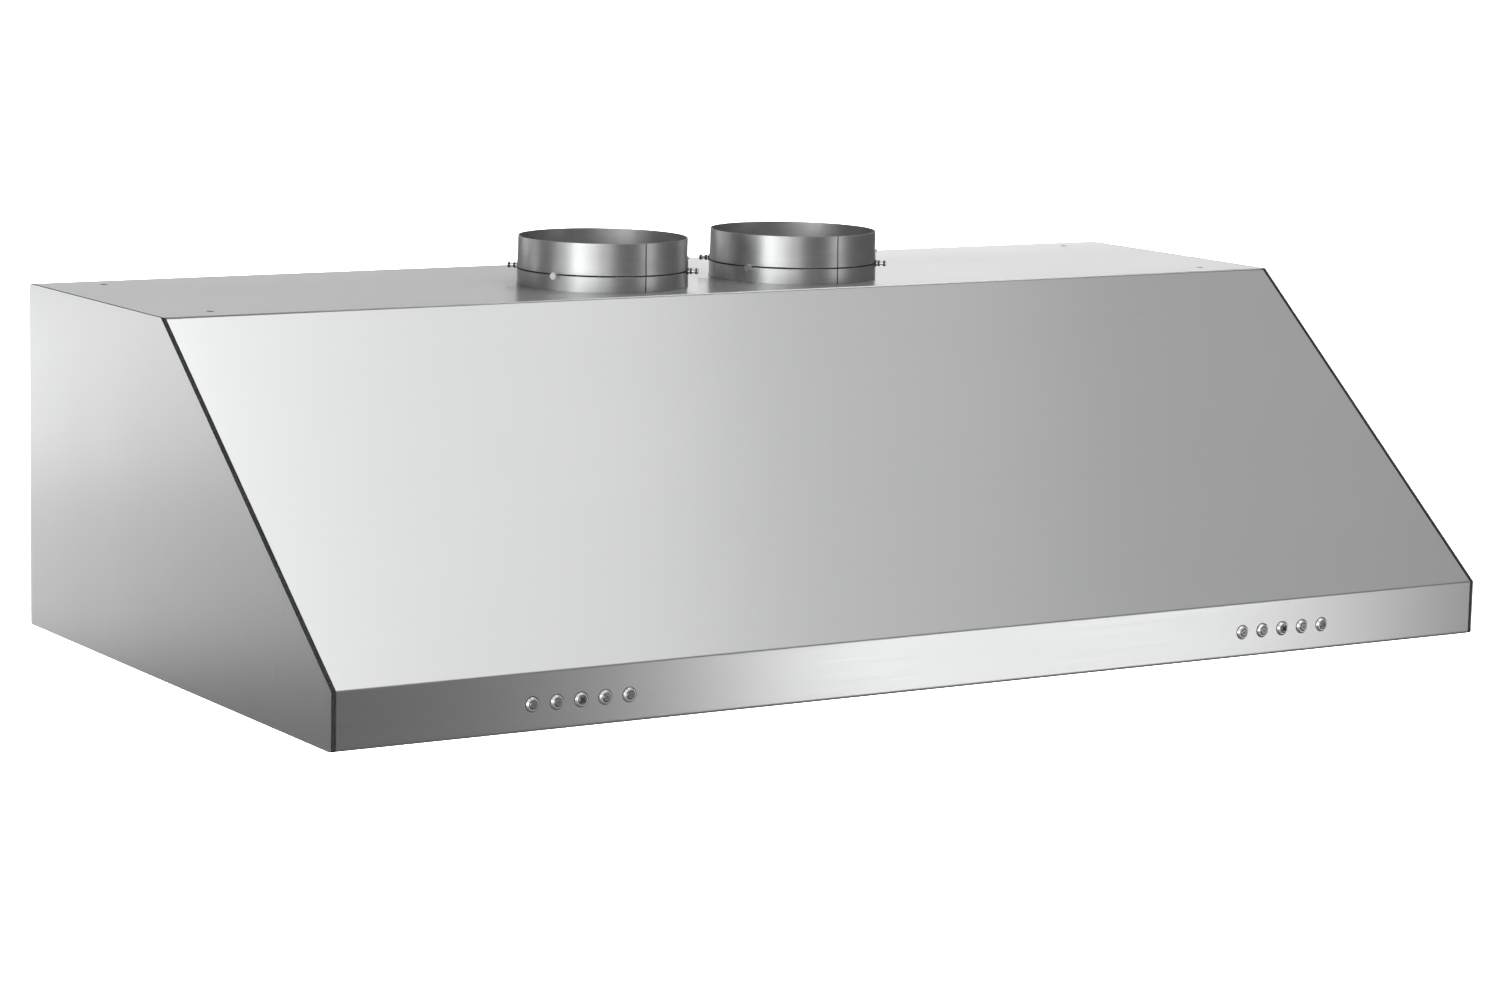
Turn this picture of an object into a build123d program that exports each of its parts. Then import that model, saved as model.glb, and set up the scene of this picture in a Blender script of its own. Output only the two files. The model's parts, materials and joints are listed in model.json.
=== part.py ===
from build123d import *
import math
import os

# Under cabinet range hood. Millimetres. X runs along the hood, -Y is the front that the cook faces,
# +Z is up. The origin is the centre of the underside.

# ---------- driving dimensions ----------
WIDTH = 1200.0
DEPTH = 620.0
HEIGHT = 315.0
TOP_DEPTH = 290.0
FASCIA = 50.0
SHEET = 1.2
BEND = 3.0
BUTTON_PROUD = 3.4
SKIN_GAP = 0.1
CUT = 20.0

# ---------- shell ----------
FRONT = -(DEPTH - BUTTON_PROUD) / 2
BACK = FRONT + DEPTH
SLOPE_TOP = BACK - TOP_DEPTH
SLOPE_RUN = (SLOPE_TOP - FRONT) / (HEIGHT - FASCIA)
HALF = WIDTH / 2
SKIN_IN = HALF - SHEET
SEAM = 3.4
PANEL_HALF = SKIN_IN - SEAM
TUCK_HALF = HALF - 19.0
FLANGE = 18.0
FLANGE_GAP = 0.3
SEAL_DEPTH = 0.5
SEAL_THICK = 0.9
SEAL_END = 6.0
SEAL_FREE = 0.05
PANEL_FREE = 0.2
LIP_HEIGHT = 9.0
BOTTOM_FLANGE = 22.0
TOP_TUCK = 10.0
UNDER_TOP = HEIGHT - SHEET - SKIN_GAP
TOP_EDGE_GAP = 0.6

# ---------- fixing holes ----------
WALL_HOLE_R = 4.0
WALL_SPACING_X = 1000.0
WALL_SPACING_Z = 120.0
WALL_HOLES_Z = 200.0
TOP_HOLE_R = 3.5
TOP_SPACING_X = 1080.0
TOP_SPACING_Y = 230.0
TOP_HOLES_Y = BACK - 145.0
KNOCKOUT_R = 11.0
SCREW_R = 2.0
SCREW_HEAD_R = 4.0
SCREW_HEAD_T = 2.2
SCREW_Z = 62.0
SCREW_COUNT = 6
SCREW_END = 60.0

# ---------- duct collars and dampers ----------
COLLAR_X = 105.0
COLLAR_Y = BACK - 185.0
COLLAR_R = 80.0
COLLAR_WALL = 1.0
COLLAR_HEIGHT = 45.0
COLLAR_HOLE_R = COLLAR_R + 0.4
TAPER = 0.6
TAPER_Z = HEIGHT + 19.0
SPIGOT_Z = HEIGHT + 29.0
COLLAR_FLANGE_R = 90.0
COLLAR_FLANGE_T = 1.1
BEAD_Z = HEIGHT + 15.0
BEAD_WIDE = 1.8
BEAD_DEEP = 0.7
SEAM_ANGLE = 270.0
SEAM_WIDE = 1.2
SEAM_DEEP = 0.4
BOLT_ANGLE = 208.0
BOLT_Z = BEAD_Z - 1.0
BOLT_R = 1.5
BOLT_NUT_R = 2.9
BOLT_NUT_T = 3.0
BOLT_HEAD_R = 3.5
BOLT_HEAD_T = 3.0
RIVET_ANGLE = 331.0
RIVET_Z = HEIGHT + 26.0
RIVET_R = 1.0
RIVET_HEAD_R = 1.8
RIVET_HEAD_T = 1.2
AXLE_ANGLE = -40.0
AXLE_Z = BEAD_Z
AXLE_R = 2.0
AXLE_HALF = COLLAR_R + 10.5
CLIP_R = 2.7
CLIP_T = 2.0
CLIP_STARTS = (COLLAR_R + 2.6, COLLAR_R + 7.8)
BUSH_R = 3.1
BUSH_T = 1.2
FLAP_R = 75.0
FLAP_T = 0.8
FLAP_EDGE = 3.9
KNUCKLE_R = 3.3
KNUCKLE_L = 12.0
FRONT_KNUCKLES_X = 45.0
REAR_KNUCKLES_X = 25.0
RUN_GAP = 0.06
PRESS_GAP = 0.02

# ---------- blowers ----------
WHEEL_R = 62.0
SCROLL_MIN = 72.0
SCROLL_MAX = 95.0
TONGUE_DEG = 75.0
SCROLL_SWEEP = 255.0
TONGUE_OUT = SCROLL_MIN * math.cos(math.radians(TONGUE_DEG))
WHEEL_Y = COLLAR_Y + (SCROLL_MAX - TONGUE_OUT) / 2
WHEEL_Z = 213.0
HOUSING_HALF = 65.0
HOUSING_TOP = UNDER_TOP - COLLAR_FLANGE_T - 0.2
HOUSING_OUTER = -COLLAR_X - HOUSING_HALF
HOUSING_INNER = -COLLAR_X + HOUSING_HALF
SCROLL_POINTS = 9
OUTLET_PLATE = 164.0
OUTLET_MOUTH = 108.0
INLET_R = 52.0
INLET_LIP = 7.0
INLET_THROAT = 9.0
RING_T = 1.2
SHAFT_R = 4.0
SHAFT_L = 68.0
SHAFT_IN_MOTOR = 41.8
SHAFT_HOLE_R = 14.0
MOTOR_R = 44.0
MOTOR_L = 62.0
MOTOR_CHAMFER = 4.0
MOTOR_BORE_L = 44.0
RIB_COUNT = 5
RIB_PITCH = 8.0
RIB_START = 14.0
RIB_W = 3.0
RIB_DEEP = 1.5
BRACKET_T = 2.0
BRACKET_RIM = 4.0
EAR_OUT = 8.0
EAR_L = 20.0
EAR_W = 16.0
BLADES = 30
BLADE_T = 1.2
BLADE_CHORD = 10.5
BLADE_SLANT = 32.0
BLADE_INSET = 5.6
WHEEL_INSET = 8.0
WHEEL_L = 2 * HOUSING_HALF - 22.0
WHEEL_PLATE_T = 1.5
WHEEL_RIM_T = 2.0
WHEEL_RIM_W = 10.0
HUB_R = 12.0
HUB_L = 16.0
CAPACITOR_X = -300.0
CAPACITOR_Z = 190.0
CAPACITOR_R = 18.0
CAPACITOR_L = 60.0
CAPACITOR_EDGE = 2.0

# ---------- controls ----------
BUTTON_SET_X = 370.0
BUTTON_PITCH = 23.1
BUTTON_Z = 23.5
BUTTON_COUNT = 5
CAP_R = 4.0
CAP_L = BUTTON_PROUD + 5.9
CAP_EDGE = 1.1
BEZEL_R = 6.0
BEZEL_TOP_R = 4.9
BEZEL_BARREL_R = 5.2
BEZEL_BARREL_L = 3.9
BEZEL_BORE_R = 4.3
BEZEL_PROUD = 2.5
BEZEL_FOOT = 0.5
BEZEL_EDGE = 0.25
STEM_R = 1.8
STEM_L = BUTTON_PROUD + 11.9
MODULE_HALF = 58.0
MODULE_HALF_Z = 10.5
MODULE_FRONT = FRONT + 5.4
MODULE_BACK = FRONT + 19.4
MODULE_SIDE = 2.0
MODULE_SHELL = 1.6
MODULE_REAR = 1.4
MODULE_HOLE_R = CAP_R + 0.4
BOARD_T = 1.4
BOARD_HALF_Z = 8.5
SWITCH_HALF = 3.0
SWITCH_T = 1.8

# ---------- filters ----------
FILTER_COUNT = 3
FILTER_W = 380.0
FILTER_L = 430.0
FILTER_T = 14.0
FILTER_PITCH = 382.0
FILTER_TILT = 8.0
FILTER_SHEET = 1.0
FILTER_RIM = 16.0
PIVOT_Y = BACK - 75.0
PIVOT_Z = 45.0
PIVOT_BEAD_R = 1.6
TONGUE = 10.0
TONGUE_INSET = 20.0
LIP_DROP = 1.2
BAFFLE_PITCH = 50.0
BAFFLE_W = 27.0
BAFFLE_H = 5.0
BAFFLE_T = 0.8
BAFFLE_END = 0.5
BAFFLE_GAP = 0.1
LOW_BAFFLES = 7
HIGH_BAFFLES = 8
BAR_FROM_PIVOT = 385.0
BAR_HALF = 9.0
BAR_T = 1.2
LUG_HALF = 5.0
LUG_BELOW = 4.5
LUG_NEAR = 6.0
LUG_FAR = 9.0
HANDLE_ROD_R = 2.0
HANDLE_HALF = 38.0
HANDLE_END = HANDLE_HALF + 10.0
HANDLE_DROP = 30.0
HANDLE_BELOW = 6.0
HANDLE_BEND = 5.0
CATCH_X = 110.0
CATCH_HALF = 12.0
CATCH_T = 0.6
CATCH_TOP = 6.0
CATCH_L = 39.0

# ---------- light panel and lamps ----------
STRIP_Z = 12.0
STRIP_FRONT = FRONT + 24.0
STRIP_BACK = PIVOT_Y - FILTER_L - 5.0
STRIP_LIP = 10.0
STRIP_BEND = 2.5
RAIL_Z = 121.5
RAIL_W = 18.0
TROUGH_Z = 20.0
TROUGH_FRONT = PIVOT_Y + 1.5
TROUGH_REAR = BACK - SHEET - SKIN_GAP
TROUGH_WALL_TOP = 75.0
LAMP_XS = (-495.0, -165.0, 165.0, 495.0)
LAMP_Y = STRIP_FRONT + 43.0
LAMP_HOLE_R = 29.0
LAMP_BEZEL_R = 34.0
LAMP_BEZEL_T = 2.0
LAMP_BEZEL_EDGE = 1.2
LAMP_BARREL_R = LAMP_HOLE_R - 0.3
LAMP_BARREL_TOP = STRIP_Z + 7.0
LENS_R = 25.0
LENS_T = 3.0
LENS_LEDGE = 1.5
CUP_Z = STRIP_Z + 7.4
CUP_MOUTH_R = 26.0
CUP_TOP_R = 14.0
CUP_DEPTH = 36.0
CUP_T = 1.2
CUP_WAIST = 4.0
HOLDER_R = 9.0
HOLDER_L = 12.0

# ---------- wiring ----------
BOX_X = -400.0
BOX_Z = 262.0
BOX_W = 110.0
BOX_D = 50.0
BOX_H = 66.0
BOX_WALL = 1.5
BOX_REAR = BACK - SHEET - SKIN_GAP
COVER_GROW = 2.0
COVER_T = 1.2
COVER_LAP = 8.0
LEAD_R = 3.5
LEAD_RISE = 20.0
LEAD_OUT_LEFT = 40.0
LEAD_OUT_RIGHT = 45.0
LEAD_WALL_Y = BACK - SHEET - 5.0
LEAD_FRONT_Y = LEAD_WALL_Y - 25.0
LEAD_CLIMB_Z = WHEEL_Z + 60.0
LEAD_BEND_LEFT = 18.0
LEAD_BEND_RIGHT = 25.0

PARTS = {}


def add(name, *solids):
    """Keep the solids of one node."""
    PARTS[name] = list(solids)


def tube(radius, length, at, direction):
    """A cylinder that starts at a point and runs along a direction."""
    return extrude(Plane(origin=at, z_dir=direction) * Circle(radius), length)


def prism(face, x0, x1):
    """Extrude a (y, z) section along X."""
    return Pos(x0, 0, 0) * extrude(Plane.YZ * face, x1 - x0, dir=(1, 0, 0))


def block(x0, x1, y0, y1, z0, z1):
    """A box given by its faces."""
    return Pos((x0 + x1) / 2, (y0 + y1) / 2, (z0 + z1) / 2) * Box(x1 - x0, y1 - y0, z1 - z0)


def folded(points, x0, x1, side=Side.RIGHT, radius=BEND, thick=SHEET):
    """A bent sheet: a (y, z) path with rounded bends, thickened to one side."""
    path = FilletPolyline(*points, radius=radius)
    return prism(make_face(offset(path, thick, side=side).edges()), x0, x1)


def mirrored(solid):
    """The same piece on the other side of the hood."""
    return mirror(solid, about=Plane.YZ)


# ---------- shell ----------

def outline():
    """The hood's side view."""
    corners = [(FRONT, 0), (BACK, 0), (BACK, HEIGHT), (SLOPE_TOP, HEIGHT), (FRONT, FASCIA)]
    face = make_face(Polyline(*corners, close=True).edges())
    return fillet(face.vertices(), BEND)


def ring(outer, inner):
    """A band that follows the side view between two depths below its edge."""
    shape = outline()
    return offset(shape, -outer) - offset(shape, -inner)


def side_panel():
    """Left side: a flat skin with a return flange all round, which the other panels lap over."""
    depth = SHEET + FLANGE_GAP
    skin = prism(outline(), -HALF, -SKIN_IN)
    rim = prism(ring(depth, depth + SHEET), -SKIN_IN, -HALF + FLANGE)
    return skin + rim


def corner_seal():
    """Left corner seal: a recessed bead between the side and the front panel."""
    middle = (FRONT + SLOPE_TOP) / 2 - SEAL_END
    region = Pos(middle, HEIGHT / 2) * Rectangle(SLOPE_TOP - FRONT, HEIGHT - SEAL_END)
    band = ring(SEAL_DEPTH, SEAL_DEPTH + SEAL_THICK) & region
    return prism(band, -SKIN_IN + SEAL_FREE, -PANEL_HALF - SEAL_FREE)


def button_xs(side):
    """X of each button in the left (-1) or right (+1) set."""
    middle = (BUTTON_COUNT - 1) / 2
    return [side * BUTTON_SET_X + (i - middle) * BUTTON_PITCH for i in range(BUTTON_COUNT)]


def front_panel():
    """Slope, fascia and bottom flange in one sheet, with tucked edges between the side flanges."""
    tuck_y = SLOPE_TOP - (HEIGHT - UNDER_TOP) * SLOPE_RUN
    face = [(FRONT + BOTTOM_FLANGE, 0), (FRONT, 0), (FRONT, FASCIA), (tuck_y, UNDER_TOP)]
    lip = (FRONT + BOTTOM_FLANGE, LIP_HEIGHT)
    tuck = (SLOPE_TOP + TOP_TUCK, UNDER_TOP)
    panel = folded(face, -PANEL_HALF, PANEL_HALF) + folded([lip] + face + [tuck], -TUCK_HALF, TUCK_HALF)
    for x in button_xs(-1) + button_xs(1):
        panel -= tube(BEZEL_BARREL_R + SKIN_GAP, CUT, (x, FRONT - CUT / 2, BUTTON_Z), (0, 1, 0))
    return panel


def top_panel():
    """Flat top with the duct openings and the cabinet screw holes."""
    half = SKIN_IN - PANEL_FREE
    panel = block(-half, half, SLOPE_TOP + TOP_EDGE_GAP, BACK, HEIGHT - SHEET, HEIGHT)
    for x in (-COLLAR_X, COLLAR_X):
        panel -= Pos(x, COLLAR_Y, HEIGHT) * Cylinder(COLLAR_HOLE_R, CUT)
    for spot in GridLocations(TOP_SPACING_X, TOP_SPACING_Y, 2, 2):
        panel -= Pos(0, TOP_HOLES_Y, HEIGHT) * spot * Cylinder(TOP_HOLE_R, CUT)
    return panel


def back_panel():
    """Back sheet with the wall holes, the cable knockout and a bottom flange."""
    path = [(BACK - BOTTOM_FLANGE, 0), (BACK, 0), (BACK, UNDER_TOP)]
    panel = folded(path, -SKIN_IN + PANEL_FREE, SKIN_IN - PANEL_FREE, side=Side.LEFT)
    start = BACK - CUT / 2
    for sx in (-1, 1):
        for sz in (-1, 1):
            at = (sx * WALL_SPACING_X / 2, start, WALL_HOLES_Z + sz * WALL_SPACING_Z / 2)
            panel -= tube(WALL_HOLE_R, CUT, at, (0, 1, 0))
    panel -= tube(KNOCKOUT_R, CUT, (BOX_X, start, BOX_Z), (0, 1, 0))
    for x in screw_xs():
        panel -= tube(SCREW_R + SKIN_GAP, CUT, (x, start, SCREW_Z), (0, 1, 0))
    return panel


# ---------- trough, light panel and lamps ----------

def screw_xs():
    """Evenly spaced screws that hold the trough to the back panel."""
    first = -TUCK_HALF + SCREW_END
    return [first - i * 2 * first / (SCREW_COUNT - 1) for i in range(SCREW_COUNT)]


def grease_trough():
    """Rear channel: its front lip carries the filters' rear tongues and its floor collects grease."""
    path = [(TROUGH_FRONT, PIVOT_Z - LIP_DROP), (TROUGH_FRONT, TROUGH_Z), (TROUGH_REAR, TROUGH_Z),
            (TROUGH_REAR, TROUGH_WALL_TOP)]
    channel = folded(path, -TUCK_HALF, TUCK_HALF, side=Side.LEFT)
    for x in screw_xs():
        channel -= tube(SCREW_R + SKIN_GAP, CUT, (x, TROUGH_REAR - CUT / 2, SCREW_Z), (0, 1, 0))
    return channel


def panel_screws():
    """Pan-head screws through the trough's rear wall and the back panel."""
    face = TROUGH_REAR - SHEET
    screws = []
    for x in screw_xs():
        shank = tube(SCREW_R, 2 * SHEET, (x, face, SCREW_Z), (0, 1, 0))
        head = tube(SCREW_HEAD_R, SCREW_HEAD_T, (x, face - SCREW_HEAD_T, SCREW_Z), (0, 1, 0))
        screws.append(shank + fillet(head.edges().sort_by(Axis.Y)[0], SCREW_HEAD_T / 2))
    return screws


def light_panel():
    """Front underside strip with the lamp holes, folded up behind into the filters' front rail."""
    path = [(STRIP_FRONT, STRIP_Z + STRIP_LIP), (STRIP_FRONT, STRIP_Z), (STRIP_BACK, STRIP_Z),
            (STRIP_BACK, RAIL_Z), (STRIP_BACK + RAIL_W, RAIL_Z)]
    panel = folded(path, -TUCK_HALF, TUCK_HALF, side=Side.LEFT, radius=STRIP_BEND)
    for x in LAMP_XS:
        panel -= Pos(x, LAMP_Y, STRIP_Z) * Cylinder(LAMP_HOLE_R, CUT)
    return panel


def disc(x, radius, low, high):
    """A round slab on a lamp's axis between two heights."""
    return Pos(x, LAMP_Y, (low + high) / 2) * Cylinder(radius, high - low)


def lamp_bezel(x):
    """A trim ring that clips into the light panel from below, with a ledge for the lens."""
    under = STRIP_Z - SKIN_GAP
    flange = disc(x, LAMP_BEZEL_R, under - LAMP_BEZEL_T, under)
    flange = fillet(flange.edges().sort_by(Axis.Z)[0], LAMP_BEZEL_EDGE)
    barrel = disc(x, LAMP_BARREL_R, under, LAMP_BARREL_TOP)
    hole = disc(x, LENS_R - LENS_LEDGE, under - CUT, under + CUT)
    seat = disc(x, LENS_R + FLANGE_GAP, STRIP_Z, STRIP_Z + CUT)
    return flange + barrel - hole - seat


def lamp_lens(x):
    """A clear disc on the bezel's inner ledge."""
    return disc(x, LENS_R, STRIP_Z + SKIN_GAP, STRIP_Z + SKIN_GAP + LENS_T)


def lamp_cup(x):
    """The pressed reflector above the lens, a dish that narrows upwards, with the lamp holder on it."""
    top = CUP_Z + CUP_DEPTH
    waist_r = CUP_MOUTH_R - CUP_WAIST
    waist_z = CUP_Z + CUP_DEPTH * 0.6
    outer = ThreePointArc((CUP_MOUTH_R, CUP_Z), (waist_r, waist_z), (CUP_TOP_R, top))
    inner = ThreePointArc((CUP_MOUTH_R - CUP_T, CUP_Z), (waist_r - CUP_T, waist_z - CUP_T),
                          (CUP_TOP_R - CUP_T, top - CUP_T))
    rest = Polyline((CUP_TOP_R - CUP_T, top - CUP_T), (0, top - CUP_T), (0, top), (CUP_TOP_R, top))
    mouth = Line((CUP_MOUTH_R, CUP_Z), (CUP_MOUTH_R - CUP_T, CUP_Z))
    profile = make_face(outer.edges() + inner.edges() + rest.edges() + mouth.edges())
    dish = revolve(Plane.XZ * profile, Axis.Z)
    return Pos(x, LAMP_Y, 0) * (dish + Pos(0, 0, top + HOLDER_L / 2) * Cylinder(HOLDER_R, HOLDER_L))


# ---------- collars and dampers ----------

def collar_centre(side):
    """Place of a collar's axis."""
    return Pos(side * COLLAR_X, COLLAR_Y, 0)


def radial(angle, radius, z, length, size):
    """A round bar that points outwards from a collar's axis."""
    a = math.radians(angle)
    out = (math.cos(a), math.sin(a), 0)
    return tube(size, length, (radius * out[0], radius * out[1], z), out)


def duct_collar():
    """A spun tube with a rolled bead, a tapered spigot, a lap seam and a flange that sits under the top."""
    inner = COLLAR_R - COLLAR_WALL
    base = UNDER_TOP - COLLAR_FLANGE_T
    rim = HEIGHT + COLLAR_HEIGHT
    half = BEAD_WIDE / 2
    profile = Polyline(
        (inner, base), (COLLAR_FLANGE_R, base), (COLLAR_FLANGE_R, UNDER_TOP), (COLLAR_R, UNDER_TOP),
        (COLLAR_R, BEAD_Z - half), (COLLAR_R - BEAD_DEEP, BEAD_Z), (COLLAR_R, BEAD_Z + half),
        (COLLAR_R, TAPER_Z), (COLLAR_R - TAPER, SPIGOT_Z), (COLLAR_R - TAPER, rim), (inner - TAPER, rim),
        (inner - TAPER, SPIGOT_Z), (inner, TAPER_Z), (inner, BEAD_Z + half), (inner - BEAD_DEEP, BEAD_Z),
        (inner, BEAD_Z - half), close=True)
    collar = revolve(Plane.XZ * make_face(profile.edges()), Axis.Z)
    seam = Pos(COLLAR_R, 0, HEIGHT + COLLAR_HEIGHT / 2) * Box(2 * SEAM_DEEP, SEAM_WIDE, COLLAR_HEIGHT + 2)
    collar -= Rot(0, 0, SEAM_ANGLE) * seam
    start = COLLAR_R - CUT / 2
    for angle in (AXLE_ANGLE, AXLE_ANGLE + 180):
        collar -= radial(angle, start, AXLE_Z, CUT, AXLE_R + SKIN_GAP)
    collar -= radial(BOLT_ANGLE, start, BOLT_Z, CUT, BOLT_R + SKIN_GAP)
    collar -= radial(RIVET_ANGLE, start, RIVET_Z, CUT, RIVET_R + SKIN_GAP)
    return collar


def collar_bolt():
    """A small bolt through the collar wall at the bead: a round nut at the wall, then the hex head."""
    a = math.radians(BOLT_ANGLE)
    nut_from = COLLAR_R + SKIN_GAP
    head_from = nut_from + BOLT_NUT_T
    plane = Plane(origin=(head_from * math.cos(a), head_from * math.sin(a), BOLT_Z),
                  x_dir=(0, 0, 1), z_dir=(math.cos(a), math.sin(a), 0))
    head = plane * extrude(RegularPolygon(BOLT_HEAD_R, 6), BOLT_HEAD_T)
    nut = radial(BOLT_ANGLE, nut_from, BOLT_Z, BOLT_NUT_T, BOLT_NUT_R)
    shank_from = COLLAR_R - 2 * COLLAR_WALL
    return head + nut + radial(BOLT_ANGLE, shank_from, BOLT_Z, head_from - shank_from, BOLT_R)


def collar_rivet():
    """A small rivet above the bead, which stops the duct."""
    head_from = COLLAR_R + SKIN_GAP
    shank_from = COLLAR_R - 2 * COLLAR_WALL
    shank = radial(RIVET_ANGLE, shank_from, RIVET_Z, head_from - shank_from, RIVET_R)
    return shank + radial(RIVET_ANGLE, head_from, RIVET_Z, RIVET_HEAD_T, RIVET_HEAD_R)


def damper_axle():
    """The rod that both flaps of one collar turn on, long enough to carry its end clips."""
    rod = tube(AXLE_R, 2 * AXLE_HALF, (-AXLE_HALF, 0, AXLE_Z), (1, 0, 0))
    return Rot(0, 0, AXLE_ANGLE) * rod


def axle_collar(angle, start, length, radius):
    """A moulded ring on the axle outside the collar wall."""
    bore = radial(angle, start - 1, AXLE_Z, length + 2, AXLE_R + PRESS_GAP)
    return radial(angle, start, AXLE_Z, length, radius) - bore


def axle_clips():
    """A bush at the wall and two clips further out on each end of one axle."""
    clips = []
    for angle in (AXLE_ANGLE, AXLE_ANGLE + 180):
        clips.append(axle_collar(angle, COLLAR_R + SKIN_GAP, BUSH_T, BUSH_R))
        clips += [axle_collar(angle, start, CLIP_T, CLIP_R) for start in CLIP_STARTS]
    return clips


def damper_flap(sign, knuckle_at):
    """A half-moon flap on one side of the axle, with two knuckles round it."""
    moon = Circle(FLAP_R) & (Pos(0, sign * (FLAP_EDGE + FLAP_R / 2)) * Rectangle(2 * FLAP_R, FLAP_R))
    flap = Pos(0, 0, -FLAP_T / 2) * extrude(moon, FLAP_T)
    for x in (-knuckle_at, knuckle_at):
        barrel = tube(KNUCKLE_R, KNUCKLE_L, (x - KNUCKLE_L / 2, 0, 0), (1, 0, 0))
        tab = Pos(x, sign * (FLAP_EDGE + 0.6) / 2, 0) * Box(KNUCKLE_L, FLAP_EDGE + 0.6, FLAP_T)
        flap += barrel + tab
    flap -= tube(AXLE_R + RUN_GAP, 2 * FLAP_R, (-FLAP_R, 0, 0), (1, 0, 0))
    return Pos(0, 0, AXLE_Z) * Rot(0, 0, AXLE_ANGLE) * flap


# ---------- blowers (left one, mirrored for the right) ----------

def scroll(shrink, top):
    """The blower's side view: a growing scroll that runs into an upright outlet."""
    points = []
    for step in range(SCROLL_POINTS):
        part = step / (SCROLL_POINTS - 1)
        angle = math.radians(TONGUE_DEG - SCROLL_SWEEP * part)
        radius = SCROLL_MIN + (SCROLL_MAX - SCROLL_MIN) * part - shrink
        points.append((WHEEL_Y + radius * math.cos(angle), WHEEL_Z + radius * math.sin(angle)))
    curve = Spline(*points)
    front = (points[-1][0], top)
    rear = (points[0][0], top)
    walls = Polyline(points[-1], front, rear, points[0])
    return make_face(curve.edges() + walls.edges())


def on_wheel_axis(radius, start, length):
    """A cylinder on the left blower's axis, from one X towards the middle of the hood."""
    return tube(radius, length, (start, WHEEL_Y, WHEEL_Z), (1, 0, 0))


def blower_housing():
    """Sheet scroll with side plates, an outlet flange under the collar and an inlet hole."""
    body = prism(scroll(0, HOUSING_TOP), HOUSING_OUTER, HOUSING_INNER)
    body -= prism(scroll(SHEET, HOUSING_TOP + CUT), HOUSING_OUTER + SHEET, HOUSING_INNER - SHEET)
    plate = Pos(-COLLAR_X, COLLAR_Y, HOUSING_TOP - SHEET / 2) * Box(OUTLET_PLATE, OUTLET_PLATE, SHEET)
    mouth = Pos(-COLLAR_X, COLLAR_Y, HOUSING_TOP) * Box(2 * (HOUSING_HALF - SHEET), OUTLET_MOUTH, CUT)
    body += plate - mouth
    body -= on_wheel_axis(INLET_R, HOUSING_INNER - CUT / 2, CUT)
    body -= on_wheel_axis(SHAFT_HOLE_R, HOUSING_OUTER - CUT / 2, CUT)
    return body


def inlet_ring():
    """A rolled bell mouth in the inlet hole."""
    face = HOUSING_INNER + SKIN_GAP
    throat = face - INLET_THROAT
    lip_r = INLET_R + INLET_LIP
    neck_r = INLET_R - 2
    throat_r = INLET_R - 4
    profile = Polyline((throat, throat_r), (throat, throat_r - RING_T), (face + RING_T, neck_r - RING_T),
                       (face + 2 * RING_T, lip_r), (face, lip_r), (face, neck_r), close=True)
    return Pos(0, WHEEL_Y, WHEEL_Z) * revolve(make_face(profile.edges()), Axis.X)


def motor_bracket():
    """A plate between the housing's outer side and the motor, with three ears."""
    outer = HOUSING_OUTER - SKIN_GAP - BRACKET_T
    plate = on_wheel_axis(MOTOR_R + BRACKET_RIM, outer, BRACKET_T)
    ear = Pos(outer + BRACKET_T / 2, MOTOR_R + EAR_OUT, 0) * Box(BRACKET_T, EAR_L, EAR_W)
    for angle in (90, 210, 330):
        plate += Pos(0, WHEEL_Y, WHEEL_Z) * Rot(angle, 0, 0) * ear
    return plate - on_wheel_axis(SHAFT_HOLE_R, outer - CUT / 2, CUT)


def motor():
    """A ribbed can with a bore for its shaft."""
    face = HOUSING_OUTER - 2 * SKIN_GAP - BRACKET_T
    can = on_wheel_axis(MOTOR_R, face - MOTOR_L, MOTOR_L)
    can = chamfer(can.edges().sort_by(Axis.X)[0], MOTOR_CHAMFER)
    for i in range(RIB_COUNT):
        start = face - RIB_START - RIB_PITCH * i - RIB_W
        can -= on_wheel_axis(MOTOR_R + 1, start, RIB_W) - on_wheel_axis(MOTOR_R - RIB_DEEP, start, RIB_W)
    return can - on_wheel_axis(SHAFT_R + RUN_GAP, face - MOTOR_BORE_L, MOTOR_BORE_L + 1)


def motor_shaft():
    """The shaft from inside the motor to the wheel's hub."""
    return on_wheel_axis(SHAFT_R, HOUSING_OUTER - BRACKET_T - SHAFT_IN_MOTOR, SHAFT_L)


def impeller():
    """A forward-curved wheel: back plate with hub, slanted blades and an inlet-side ring."""
    x0 = HOUSING_OUTER + WHEEL_INSET
    rim_x = x0 + WHEEL_L - WHEEL_RIM_T
    wheel = on_wheel_axis(WHEEL_R, x0, WHEEL_PLATE_T) + on_wheel_axis(HUB_R, x0, HUB_L)
    rim = on_wheel_axis(WHEEL_R, rim_x, WHEEL_RIM_T)
    wheel += rim - on_wheel_axis(WHEEL_R - WHEEL_RIM_W, rim_x, WHEEL_RIM_T)
    blade = Rot(BLADE_SLANT, 0, 0) * Box(WHEEL_L, BLADE_CHORD, BLADE_T)
    blade = Pos(x0 + WHEEL_L / 2, WHEEL_R - BLADE_INSET, 0) * blade
    for i in range(BLADES):
        wheel += Pos(0, WHEEL_Y, WHEEL_Z) * Rot(i * 360 / BLADES, 0, 0) * blade
    return wheel - on_wheel_axis(SHAFT_R + PRESS_GAP, x0 - CUT / 2, 2 * CUT)


def run_capacitor():
    """A round capacitor strapped to the inside of the back panel."""
    y = BACK - SHEET - CAPACITOR_R - 1
    can = Pos(CAPACITOR_X, y, CAPACITOR_Z) * Cylinder(CAPACITOR_R, CAPACITOR_L)
    return fillet(can.edges().sort_by(Axis.Z)[-1], CAPACITOR_EDGE)


# ---------- controls ----------

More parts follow.
